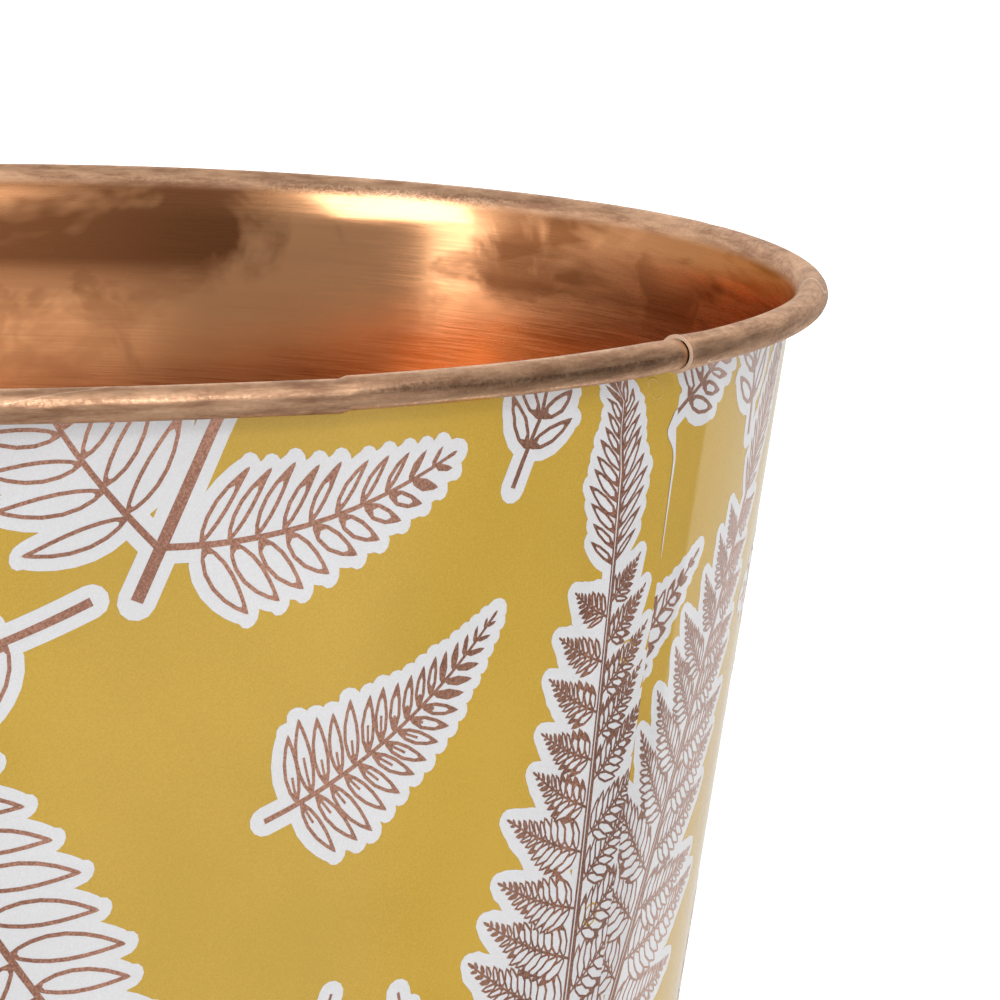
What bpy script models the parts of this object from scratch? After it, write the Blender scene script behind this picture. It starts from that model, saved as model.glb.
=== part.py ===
"""A tapered sheet-metal planter pot, printed outside and bare copper inside.

Four pieces: one wrapped sheet (foot hem, conical wall, flare and rolled rim), the wire that the rim
is rolled over, the base pan that the foot hem holds, and the sealant ring between pan and wall.

The origin is at the centre of the foot, on the surface the pot stands on. Z points up. Azimuths are
in degrees, counted from -Y towards +X. Every length below is in millimetres and becomes metres
only where a point is made.
"""

from math import atan, cos, degrees, isclose, radians, sin

import bmesh
import bpy

# ---- driving dimensions, millimetres and degrees -------------------------------------------------
HEIGHT = 171.0  # foot to the top of the rolled rim
RIM_RADIUS = 100.0  # outside of the rolled rim
WALL_TOP_RADIUS = 96.2  # printed face of the cone, carried up to the height of the bead's centre
TAPER = 0.142  # radius gained for each millimetre of height
SHEET = 0.45  # thickness of the sheet
GAP = 0.3  # clearance between pieces that touch on the real pot
BEAD_RADIUS = 1.75  # outside radius of the rolled rim's section
BEAD_LEAN = 25.0  # how far the wall leans out where the bead begins, from vertical
BEAD_TURN = 295.0  # how far the bead is rolled
SEAM_AZIMUTH = 55.0  # where the upper sheet of the lap seam ends
SEAM_OPENING = 0.25  # degrees between the sheet's ends in the bead and the foot
WIRE_OPENING_AZIMUTH = 25.0  # where the wire's two ends meet
WIRE_OPENING = 0.6  # degrees between the wire's ends
HEM_BEND_RADIUS = 0.35  # middle of the sheet, at both bends of the foot hem
HEM_LIP_TOP = 5.0  # height of the lip inside the foot
LAP_LOW, LAP_LOW_FULL = 6.0, 10.0  # where the lap seam starts, and where it is full
LAP_HIGH_FULL, LAP_HIGH = 12.0, 8.0  # the same at its top, measured down from the bead's centre
LAP_GAP = 0.1  # between the two layers of the lap seam
PAN_TOP = 8.0  # middle of the pan's sheet, round the rim of its floor
PAN_BEND_RADIUS = 1.5
PANEL_RISE = 1.5  # the stamped centre of the pan stands this much higher
PANEL_RADIUS, PANEL_SLOPE = 52.0, 4.0  # its flat top, and the width of the slope round it
SEALANT_TOP = 10.2
SEALANT_REACH = 0.6  # how far the sealant spreads to each side of the pan's bend
SEALANT_EDGE = 0.05  # how much its inner edge stands above its underside

# ---- facets --------------------------------------------------------------------------------------
STEP = 5  # degrees between stations round the pot
BEAD_STEPS = 12
FLARE_STEPS = 3
BEND_STEPS = 2  # each bend of the foot hem
PAN_BEND_STEPS = 3
SHARP_EDGE = 35  # degrees between faces from which an edge is shaded sharp

# ---- worked out ----------------------------------------------------------------------------------
MM = 0.001
FULL_TURN = 360
SLANT = atan(TAPER)
BEAD_Z = HEIGHT - BEAD_RADIUS
BEAD_CENTRE = RIM_RADIUS - BEAD_RADIUS
HALF = SHEET / 2
LAYER = (SHEET + GAP) / cos(SLANT)  # from the middle of one sheet to the next, level


def wall_mid(z):
    """Radius of the middle of the wall's sheet at a height."""
    return WALL_TOP_RADIUS - HALF / cos(SLANT) + TAPER * (z - BEAD_Z)


def wall_inside(z):
    return wall_mid(z) - HALF / cos(SLANT)


def arc(centre, radius, start, end, steps):
    """Points (r, z) on an arc, both ends included. Angles in degrees, 0 outward and 90 up."""
    turns = [radians(start + (end - start) * k / steps) for k in range(steps + 1)]
    return [(centre[0] + radius * cos(a), centre[1] + radius * sin(a)) for a in turns]


def point(azimuth, radius, z):
    """A point in metres."""
    a = radians(azimuth)
    return (radius * sin(a) * MM, -radius * cos(a) * MM, z * MM)


def material(name, colour, roughness, metallic):
    made = bpy.data.materials.new(name)
    made.use_nodes = True
    shader = made.node_tree.nodes["Principled BSDF"]
    shader.inputs["Base Color"].default_value = (*colour, 1.0)
    shader.inputs["Roughness"].default_value = roughness
    shader.inputs["Metallic"].default_value = metallic
    return made


def place(name, build, materials):
    """Turns a bmesh into a named, smooth-shaded object."""
    mesh = bpy.data.meshes.new(name)
    build.to_mesh(mesh)
    build.free()
    mesh.shade_smooth()
    mesh.set_sharp_from_angle(angle=radians(SHARP_EDGE))
    made = bpy.data.objects.new(name, mesh)
    bpy.context.scene.collection.objects.link(made)
    for each in materials:
        mesh.materials.append(each)
    return made


def thicken(sheet, inner_material):
    """Gives a mid-surface its thickness, half to each side."""
    solidify = sheet.modifiers.new("Thickness", "SOLIDIFY")
    solidify.thickness = SHEET * MM
    solidify.offset = 0.0
    solidify.use_even_offset = True
    solidify.material_offset = inner_material
    solidify.material_offset_rim = inner_material


# ---- the wrapped sheet ---------------------------------------------------------------------------
def wall_profile():
    """Middle of the sheet from the lip inside the foot to the end of the bead, as (r, z)."""
    slant = degrees(SLANT)
    bend_z = HALF + HEM_BEND_RADIUS
    reach = HEM_BEND_RADIUS / cos(SLANT)
    inner_bend = (wall_mid(bend_z) - 2 * LAYER + reach, bend_z)
    outer_bend = (wall_mid(bend_z) - reach, bend_z)
    profile = [(wall_mid(HEM_LIP_TOP) - 2 * LAYER, HEM_LIP_TOP)]
    profile += arc(inner_bend, HEM_BEND_RADIUS, 180 - slant, 270, BEND_STEPS)
    profile += arc(outer_bend, HEM_BEND_RADIUS, 270, 360 - slant, BEND_STEPS)
    lap_heights = (LAP_LOW, LAP_LOW_FULL, BEAD_Z - LAP_HIGH_FULL, BEAD_Z - LAP_HIGH)
    profile += [(wall_mid(z), z) for z in lap_heights]

    # The flare is the arc that leaves the cone along its slope and meets the bead along its lean.
    lean = radians(BEAD_LEAN)
    bead_mid = BEAD_RADIUS - HALF
    join = (BEAD_CENTRE - bead_mid * cos(lean), BEAD_Z + bead_mid * sin(lean))
    rise = cos(lean) - cos(SLANT) + TAPER * (sin(lean) - sin(SLANT))
    flare_radius = (wall_mid(join[1]) - join[0]) / rise
    flare_centre = (join[0] + flare_radius * cos(lean), join[1] - flare_radius * sin(lean))
    start = 180 - BEAD_LEAN
    profile += arc(flare_centre, flare_radius, 180 - slant, start, FLARE_STEPS)[:-1]
    profile += arc((BEAD_CENTRE, BEAD_Z), bead_mid, start, start - BEAD_TURN, BEAD_STEPS)
    return profile


def lap_share(z):
    """How far the upper layer of the lap seam has left the cone at a height, from 0 to 1."""
    rising = (z - LAP_LOW) / (LAP_LOW_FULL - LAP_LOW)
    falling = (BEAD_Z - LAP_HIGH - z) / (LAP_HIGH_FULL - LAP_HIGH)
    return max(0.0, min(1.0, rising, falling))


def body_wall():
    profile = wall_profile()
    # The sheet starts with a tongue under its own far end, and goes once round.
    columns = [SEAM_AZIMUTH - STEP, SEAM_AZIMUTH + SEAM_OPENING]
    columns += [SEAM_AZIMUTH + turn for turn in range(STEP, FULL_TURN + STEP, STEP)]
    build = bmesh.new()
    grid = {}
    for i, azimuth in enumerate(columns):
        for k, (r, z) in enumerate(profile):
            in_lap = lap_share(z) if isclose(r, wall_mid(z)) else 0.0
            if i == 0 and in_lap < 1.0:
                continue
            upper = i >= len(columns) - 2
            lift = (SHEET + LAP_GAP) * in_lap if upper else 0.0
            grid[i, k] = build.verts.new(point(azimuth, r + lift, z))
    for i in range(len(columns) - 1):
        for k in range(len(profile) - 1):
            corners = ((i, k), (i + 1, k), (i + 1, k + 1), (i, k + 1))
            if all(corner in grid for corner in corners):
                build.faces.new([grid[corner] for corner in corners])
    printed = material("printed_enamel", (0.57, 0.37, 0.06), 0.35, 0.0)
    copper = material("bare_copper", (0.80, 0.40, 0.24), 0.25, 1.0)
    thicken(place("body_wall", build, [printed, copper]), 1)


# ---- the wire in the rim -------------------------------------------------------------------------
def rim_wire():
    first = WIRE_OPENING_AZIMUTH + WIRE_OPENING / 2
    last = WIRE_OPENING_AZIMUTH - WIRE_OPENING / 2 + FULL_TURN
    between = [WIRE_OPENING_AZIMUTH + turn for turn in range(STEP, FULL_TURN, STEP)]
    azimuths = [first, *between, last]
    curve = bpy.data.curves.new("rim_wire", "CURVE")
    curve.dimensions = "3D"
    curve.bevel_depth = (BEAD_RADIUS - SHEET - GAP) * MM
    curve.bevel_resolution = 2
    curve.use_fill_caps = True
    spline = curve.splines.new("POLY")
    spline.points.add(len(azimuths) - 1)
    for spline_point, azimuth in zip(spline.points, azimuths):
        spline_point.co = (*point(azimuth, BEAD_CENTRE, BEAD_Z), 1.0)
    curve.materials.append(material("rim_wire_steel", (0.45, 0.45, 0.44), 0.4, 1.0))
    made = bpy.data.objects.new("rim_wire", curve)
    bpy.context.scene.collection.objects.link(made)


# ---- base ----------------------------------------------------------------------------------------
def pan_bend_centre():
    z = PAN_TOP - PAN_BEND_RADIUS
    return (wall_mid(z) - LAYER - PAN_BEND_RADIUS / cos(SLANT), z)


def rings(build, profile):
    """Turns a profile into rings of quads round Z, without closing its ends."""
    azimuths = range(0, FULL_TURN, STEP)
    loops = [[build.verts.new(point(a, r, z)) for a in azimuths] for r, z in profile]
    for low, high in zip(loops, loops[1:]):
        for k in range(len(low)):
            n = (k + 1) % len(low)
            build.faces.new((low[k], low[n], high[n], high[k]))
    return loops


def base_pan():
    slant = degrees(SLANT)
    foot_z = SHEET + GAP
    profile = [(wall_mid(foot_z) - LAYER, foot_z)]
    profile += arc(pan_bend_centre(), PAN_BEND_RADIUS, -slant, 90, PAN_BEND_STEPS)
    profile += [
        (PANEL_RADIUS + PANEL_SLOPE, PAN_TOP),
        (PANEL_RADIUS, PAN_TOP + PANEL_RISE),
    ]
    build = bmesh.new()
    loops = rings(build, profile)
    build.faces.new(loops[-1])
    copper = material("pan_copper", (0.78, 0.40, 0.25), 0.3, 1.0)
    thicken(place("base_pan", build, [copper]), 0)


def base_sealant():
    bend_r, _ = pan_bend_centre()
    pan_face = PAN_TOP + HALF + GAP  # lowest the sealant may reach above the pan
    section = [
        (wall_inside(SEALANT_TOP) - GAP, SEALANT_TOP),
        (bend_r - SEALANT_REACH, pan_face + SEALANT_EDGE),
        (bend_r + SEALANT_REACH, pan_face),
        (wall_inside(PAN_TOP) - GAP, PAN_TOP),
    ]
    build = bmesh.new()
    loops = rings(build, section)
    for k in range(len(loops[0])):
        n = (k + 1) % len(loops[0])
        build.faces.new((loops[-1][k], loops[-1][n], loops[0][n], loops[0][k]))
    bmesh.ops.recalc_face_normals(build, faces=build.faces)
    place("base_sealant", build, [material("clear_sealant", (0.62, 0.58, 0.50), 0.45, 0.0)])


def main():
    for old in list(bpy.data.objects):
        bpy.data.objects.remove(old, do_unlink=True)
    body_wall()
    rim_wire()
    base_pan()
    base_sealant()


main()
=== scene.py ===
"""The looks of a printed sheet-metal planter pot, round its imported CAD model.

Lengths are in millimetres and azimuths in degrees from -Y towards +X, as in the CAD; they become
metres only where a vertex is made. The printed wall is one closed sheet. The print on it is thin
films of ink, drawn by formula on the unrolled cone: fern fronds with copper lines on white.
"""

import random
from math import atan, cos, degrees, pi, radians, sin

import bpy
import numpy as np
from mathutils import Matrix, Vector
from mathutils.geometry import delaunay_2d_cdt


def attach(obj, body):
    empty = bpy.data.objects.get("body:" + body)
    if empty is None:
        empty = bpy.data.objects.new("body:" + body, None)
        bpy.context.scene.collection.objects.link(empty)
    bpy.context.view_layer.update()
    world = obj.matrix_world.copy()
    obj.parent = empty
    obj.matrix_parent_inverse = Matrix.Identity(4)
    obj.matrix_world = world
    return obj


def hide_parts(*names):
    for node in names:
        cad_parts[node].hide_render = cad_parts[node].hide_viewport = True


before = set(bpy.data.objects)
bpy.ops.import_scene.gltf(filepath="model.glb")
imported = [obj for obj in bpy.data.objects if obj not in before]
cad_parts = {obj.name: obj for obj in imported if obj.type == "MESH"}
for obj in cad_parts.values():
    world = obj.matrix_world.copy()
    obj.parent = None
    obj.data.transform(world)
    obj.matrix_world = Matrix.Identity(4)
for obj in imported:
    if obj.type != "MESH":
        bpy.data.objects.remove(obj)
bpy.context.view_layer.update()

scene = bpy.context.scene

# ---- the pot's sizes, as in the CAD ----
MM = 0.001
HEIGHT = 171.0
RIM_RADIUS = 100.0
WALL_TOP_RADIUS = 96.2  # printed face of the cone, carried up to the bead's centre
TAPER = 0.142
SHEET = 0.45
GAP = 0.3
BEAD_RADIUS = 1.75
BEAD_LEAN = 25.0
BEAD_TURN = 295.0
SEAM = 55.0  # azimuth of the lap seam
HEM_BEND = 0.35
HEM_LIP_TOP = 5.0
LAP_HEIGHTS = (6.0, 10.0, 157.25, 161.25)  # the lap starts, is full, stops being full, ends
LAP_LIFT = 0.55
JOINT_SHIFT = 3.3  # degrees from the wall's seam to where the bead's ends meet
PAN_TOP = 8.0
PAN_BEND = 1.5
PANEL_RISE = 1.5
PANEL_RADIUS = 52.0
PANEL_SLOPE = 4.0

SLANT = atan(TAPER)
HALF = SHEET / 2
BEAD_Z = HEIGHT - BEAD_RADIUS
BEAD_CENTRE = RIM_RADIUS - BEAD_RADIUS
LAYER = (SHEET + GAP) / cos(SLANT)

# ---- how finely the wall is divided ----
STEP = 0.5  # degrees between the wall's stations
PRINT_STEP = 1.5  # degrees between the print's stations
TONGUE = 5.25  # degrees of the sheet under its own far end
LAP_RAMP = (352.5, 354.0)  # where the upper layer climbs, degrees from the seam


def smooth(x):
    x = np.clip(x, 0.0, 1.0)
    return x * x * (3 - 2 * x)


def wall_mid(z):
    return WALL_TOP_RADIUS - HALF / cos(SLANT) + TAPER * (z - BEAD_Z)


def arc(centre, radius, start, end, steps, facing, part):
    """Rows (r, z, direction of the printed face, part of the sheet) on an arc of the section."""
    turns = np.radians(np.linspace(start, end, steps + 1))
    return [
        (centre[0] + radius * cos(a), centre[1] + radius * sin(a), a + facing, part) for a in turns
    ]


def sheet_rows():
    """The middle of the sheet, from the lip inside the foot to the end of the bead."""
    slant = degrees(SLANT)
    bend_z = HALF + HEM_BEND
    reach = HEM_BEND / cos(SLANT)
    inner = (wall_mid(bend_z) - 2 * LAYER + reach, bend_z)
    outer = (wall_mid(bend_z) - reach, bend_z)
    rows = [(wall_mid(HEM_LIP_TOP) - 2 * LAYER, HEM_LIP_TOP, pi - SLANT, "lip")]
    rows += arc(inner, HEM_BEND, 180 - slant, 270, 5, 0.0, "lip")
    rows += arc(outer, HEM_BEND, 270, 360 - slant, 5, 0.0, "foot")
    heights = sorted({*LAP_HEIGHTS, *range(18, 156, 9)})
    rows += [(wall_mid(z), z, -SLANT, "cone") for z in heights]
    lean = radians(BEAD_LEAN)
    middle = BEAD_RADIUS - HALF
    join = (BEAD_CENTRE - middle * cos(lean), BEAD_Z + middle * sin(lean))
    rise = cos(lean) - cos(SLANT) + TAPER * (sin(lean) - sin(SLANT))
    flare = (wall_mid(join[1]) - join[0]) / rise
    centre = (join[0] + flare * cos(lean), join[1] - flare * sin(lean))
    start = 180 - BEAD_LEAN
    rows += arc(centre, flare, 180 - slant, start, 8, pi, "flare")[:-1]
    rows += arc((BEAD_CENTRE, BEAD_Z), middle, start, start - BEAD_TURN, 30, pi, "bead")
    return rows


ROWS = sheet_rows()
ROW_R, ROW_Z, ROW_FACING = (np.array([row[k] for row in ROWS]) for k in range(3))
ROW_PART = [row[3] for row in ROWS]
FLARE_ROWS = [k for k, part in enumerate(ROW_PART) if part == "flare"]
# How far each row moves with the bead: the flare's rows more and more, and the bead's fully.
ROW_SHARE = np.clip((np.arange(len(ROWS)) - FLARE_ROWS[0]) / len(FLARE_ROWS), 0.0, 1.0)

KINK, KINK_DROP = 25.0, 0.28  # azimuth and depth of a small kink, where the wire's ends meet
LIP = 0.16  # the bead's right-hand end stands this much proud, and again as much at its very edge
NECK, TUCK = 0.10, 0.42  # its left-hand end is drawn in, first a little and then into the lip

# Dents in the bead: azimuth, angle on its section, half length along it and depth.
DENTS = [(7.6, 62, 0.9, 0.16), (10.9, 48, 0.6, 0.13), (31.5, 70, 1.6, 0.06)]
MORE_DENTS, DENT_RANGES = 46, ((0, 360), (-20, 115), (0.5, 1.6), (0.04, 0.13))
DENT_WIDTH = 0.45
marks = random.Random(4)
DENTS += [tuple(marks.uniform(*ends) for ends in DENT_RANGES) for _ in range(MORE_DENTS)]


def settle(turn, r, z, facing, share, lap):
    """Where a point of the ideal sheet really is, after the seam, the bead's joint and small dents.

    turn is in degrees from the seam. share is how far the point moves with the bead, and lap is 1
    where the seam may lift it. All may be arrays. The answer is azimuth, radius and height.
    """
    azimuth = SEAM + turn
    a = np.radians(azimuth)
    rise = smooth((z - 12) / 60)
    r = r + rise * (0.13 * np.sin(2 * a + 0.7) + 0.06 * np.sin(5 * a + z / 31 + 1.9))
    start, full, thins, end = LAP_HEIGHTS
    lap_share = np.clip(np.minimum((z - start) / (full - start), (end - z) / (end - thins)), 0, 1)
    ramp = np.clip((turn - LAP_RAMP[0]) / (LAP_RAMP[1] - LAP_RAMP[0]), 0, 1)
    r = r + LAP_LIFT * lap * lap_share * ramp
    # The right-hand end of the bead is opened to a lip; the left-hand end is drawn into it.
    grow = (LIP * (1 - smooth(turn / 4.0)) + LIP * (1 - smooth(turn / 0.7))) * (turn < 180)
    grow = grow - NECK * smooth((turn - 356.5) / 3.0) - TUCK * smooth((turn - 359.45) / 0.4)
    for where, angle, size, depth in DENTS if np.max(share) >= 1 else ():
        along = (np.mod(azimuth - where + 180, 360) - 180) * radians(1) * BEAD_CENTRE
        over = np.degrees(facing) - 180 - angle
        over = (np.mod(over + 180, 360) - 180) * radians(1) * BEAD_RADIUS
        spread = np.exp(-((along / size) ** 2) - (over / DENT_WIDTH) ** 2)
        grow = grow - depth * spread * (share >= 1)
    r = r - share * grow * np.cos(facing)
    z = z - share * grow * np.sin(facing)
    before = np.mod(KINK - azimuth, 360)
    z = z - share * KINK_DROP * np.exp(-before / 7.0) * smooth(before / 0.5)
    z = z + share * (0.1 * np.sin(3 * a + 0.4) + 0.05 * np.sin(7 * a))
    # The bead's ends meet a little to the left of the wall's seam.
    azimuth = azimuth - share * JOINT_SHIFT * (1 - smooth(np.minimum(turn, 360 - turn) / 24))
    azimuth = azimuth + share * 0.35 * smooth((turn - 358.0) / 2.0)
    return azimuth, r, z


def at(azimuth, r, z):
    """Places in metres, as an array of three columns."""
    a = np.radians(azimuth)
    return np.stack([r * np.sin(a), -r * np.cos(a), z + 0 * a], -1) * MM
# ---- the print: fern fronds by formula, on the unrolled wall ----
TILE = 135.0  # the print repeats after this many degrees
APEX = WALL_TOP_RADIUS / sin(SLANT)  # slant distance from the cone's apex to the bead's level
LINE = 0.42  # pen line
FINE_LINE = 0.27  # pen line of the lace ferns
BORDER = 1.35  # white left round every frond
draws = random.Random(11)


def flat(angle, drop):
    """Place on the unrolled wall for a pattern angle, in degrees, and a depth below the bead."""
    reach = APEX - drop * TAPER / sin(SLANT)
    turn = radians(angle - TILE / 2) * sin(SLANT)
    return complex(reach * sin(turn), reach * cos(turn) - APEX)


def rolled(points):
    """The pattern angle and the height of places on the unrolled wall."""
    reach = np.abs(points + 1j * APEX)
    turn = np.arctan2(points.real, points.imag + APEX)
    height = BEAD_Z - (APEX - reach) * sin(SLANT) / TAPER
    return TILE / 2 + np.degrees(turn) / sin(SLANT), height


# The white borders and the copper pen work over them, each as outlines in drawing order with
# whether they are inked or wiped.
BORDERS, PEN_WORK = [], []


def border_line(*parts):
    BORDERS.append((np.concatenate(parts), True))


def pen_line(*parts, inked=True):
    PEN_WORK.append((np.concatenate(parts), inked))


def curve(start, end, bend, t):
    """Points of a bent line, and the headings along it as unit numbers."""
    handle = (start + end) / 2 + 1j * bend * (end - start)
    points = start * (1 - t) ** 2 + 2 * handle * t * (1 - t) + end * t**2
    ahead = 2 * (handle - start) * (1 - t) + 2 * (end - handle) * t
    return points, ahead / np.abs(ahead)


def ribbon(start, end, bend, wide, narrow, inked=True, border=BORDER, shift=0.0):
    """A stem that narrows from its start to its end. shift moves it sideways, in half widths."""
    length = abs(end - start)
    steps = max(4, int(length / 2.5))
    t = np.linspace(0, 1, steps + 1)
    spine, ahead = curve(start, end, bend, t)
    half = (wide + (narrow - wide) * t) / 2
    spine = spine + 1j * ahead * shift * half
    pen_line(spine - 1j * ahead * half, (spine + 1j * ahead * half)[::-1], inked=inked)
    if border:
        grown = half + border
        round_end = np.exp(1j * np.linspace(-pi / 2, pi / 2, 7)[1:-1])
        far = spine[-1] + ahead[-1] * grown[-1] * round_end
        near = spine[0] - ahead[0] * grown[0] * round_end
        border_line(spine - 1j * ahead * grown, far, (spine + 1j * ahead * grown)[::-1], near)


def leaflet(base, ahead, length, width, bend, line, border, rib):
    """One leaflet in outline, pointed at its tip, with or without a stroke along its middle."""
    steps = max(3, int(length / 1.4) + 2)
    t = (1 - np.cos(np.linspace(0, pi, steps + 1))) / 2

    def section(s, grow):
        """Middle, heading and half width of the leaflet at shares s of its length."""
        c = np.clip(s, 0, 1)
        middle = base + ahead * length * (s + 1j * bend * c * (c - 0.35))
        heading = ahead * (1 + 1j * bend * (2 * c - 0.35))
        return middle, heading / np.abs(heading), width / 2 * np.sin(pi * c**0.85) ** 0.8 + grow

    spine, heading, half = section(t, 0.0)
    side = 1j * heading * np.maximum(half, line * 0.5)
    pen_line(spine[:1], (spine - side)[1:-1], spine[-1:], (spine + side)[-2:0:-1])
    gap = half - line
    open_part = gap > line * 0.12
    if open_part.sum() > 1:
        # The open middle ends in points, a little beyond the places where it still has width.
        middle, side = spine[open_part], 1j * heading[open_part] * gap[open_part]
        first, last = np.flatnonzero(open_part)[[0, -1]]
        near = (middle[:1] + spine[max(first - 1, 0)]) / 2 + heading[first] * line * 0.5
        far = (middle[-1:] + spine[min(last + 1, steps)]) / 2 - heading[last] * line * 0.5
        pen_line(near, middle - side, far, (middle + side)[::-1], inked=False)
    if rib and width > 3.6 * line:
        stroke = slice(1, max(3, int(len(t) * rib)))
        side = 1j * heading[stroke] * line * 0.38
        pen_line(spine[stroke] - side, (spine[stroke] + side)[::-1])
    if border:
        over = np.sin(np.linspace(-pi / 2, 0, 4)[:-1])
        reach = np.concatenate([border * over, t * length, length - border * over[::-1]])
        beyond = np.clip(np.maximum(-reach, reach - length) / border, 0, 1)
        middle, heading, half = section(reach / length, border * np.sqrt(1 - beyond**2))
        side = 1j * heading * half
        border_line(middle - side, (middle + side)[::-1])


def feather(
    start, end, bend, pairs, longest, plump, lean, stem,
    fall=0.8, rise=3.0, first=0.5, bare=0.08, line=LINE, border=BORDER, rib=0.0, curl=0.12,
    least=0.14, saw=False, loose=0.06, left=(1.0, 1.0),
):
    """A stem with leaflets on both sides that shorten towards its end.

    longest, plump and lean are a leaflet's greatest length, its width over its length, and its
    angle to the stem at the bottom and at the top. The leaflets grow by rise from the share first
    of that length, then shorten by the power fall to the share least. bare is the share of the
    stem below them, rib the length of the stroke in each, and loose how much chance varies them.
    With saw, one border goes round the lot. left scales length and width on the stem's left.
    """
    rims = {1: [], -1: []}
    own_border = 0.0 if saw else border
    for k in range(pairs):
        t = bare + (0.97 - bare) * (k + 0.3) / pairs
        across = (t - bare) / (1 - bare)
        size = max(least, (1 - across) ** fall * min(1.0, first + across * rise))
        for side in (1, -1):
            at = t + (0.012 if side < 0 else 0.0)
            place, ahead = curve(start, end, bend, np.array([min(at, 1.0)]))
            length = longest * size * (1 + loose * draws.uniform(-1, 1))
            angle = lean[0] + (lean[1] - lean[0]) * across + draws.uniform(-3, 3) * (loose > 0)
            turned = ahead[0] * complex(cos(radians(angle)), side * sin(radians(angle)))
            width = length * plump * (1 + 0.35 * across)
            if side > 0:
                length, width = length * left[0], width * left[1]
            leaflet(place[0], turned, length, width, -side * curl, line, own_border, rib)
            if saw:
                out = turned * (length + border * 0.35) + side * 1j * ahead[0] * border * 0.7
                rims[side].append(place[0] + out)
    place, ahead = curve(start, end, bend, np.array([0.0, 0.96]))
    length = 1.25 * longest * max(least, 0.5 * (1 - 0.9) ** fall)
    leaflet(place[1], ahead[1], length, length * plump, 0.0, line, own_border, 0.0)
    if saw:
        fan = np.exp(1j * np.linspace(-1.3, 1.3, 6))
        top = end + ahead[1] * border * (0.3 + fan)
        low = start - ahead[0] * border
        border_line([low], rims[-1], top, rims[1][::-1])
    ribbon(start, end, bend, stem, line * 0.8, border=own_border)


LACE_TIP = 0.2  # share of a lace fern that is its plain tip
LACE_CROWDING = 0.6  # below 1, its pinnae crowd towards the tip


def lace_fern(start, end, bend, longest, pairs):
    """A tall fern: a double stem with pinnae like small feathers, and plain leaflets at its tip."""
    lowest = (1 / (pairs + 1)) ** LACE_CROWDING
    for k in range(pairs):
        up = (((k + 1) / (pairs + 1)) ** LACE_CROWDING - lowest) / (1 - lowest)
        t = 0.04 + (0.96 - LACE_TIP) * up
        across = (1 - t - LACE_TIP) / (1 - LACE_TIP)
        size = min(1.0, 0.28 + 1.4 * across) * (0.8 if t < 0.1 else 1.0)
        for side in (1, -1):
            at = t + (0.014 if side < 0 else 0.0) + 0.004 * draws.uniform(-1, 1)
            place, ahead = curve(start, end, bend, np.array([at]))
            length = longest * size * (1 + 0.09 * draws.uniform(-1, 1))
            angle = 58 + 18 * across + draws.uniform(-5, 5) - 12 * (side < 0)
            turned = ahead[0] * complex(cos(radians(angle)), side * sin(radians(angle)))
            feather(
                place[0] + turned * 0.5, place[0] + turned * length, side * 0.06,
                5 + int(length * 0.45), 0.24 * length + 1.3, 0.36, (58, 32), FINE_LINE * 1.1,
                fall=0.75, first=0.8, bare=0.03, line=FINE_LINE, border=1.25, curl=0.1, saw=True,
                least=0.2, loose=0.08,
            )
    place, _ = curve(start, end, bend, np.array([1 - LACE_TIP * 0.97]))
    feather(
        place[0], end, bend * LACE_TIP * 0.4, 16, 0.36 * longest, 0.2, (46, 20),
        FINE_LINE * 2, fall=0.62, rise=2.0, first=0.62, bare=0.0, line=FINE_LINE, border=1.15,
        curl=-0.1, least=0.14,
    )
    ribbon(start, end, bend, 1.9, 0.5, border=1.1)
    ribbon(start, end, bend, 0.32, 0.14, inked=False, border=0.0, shift=1.0)


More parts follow.
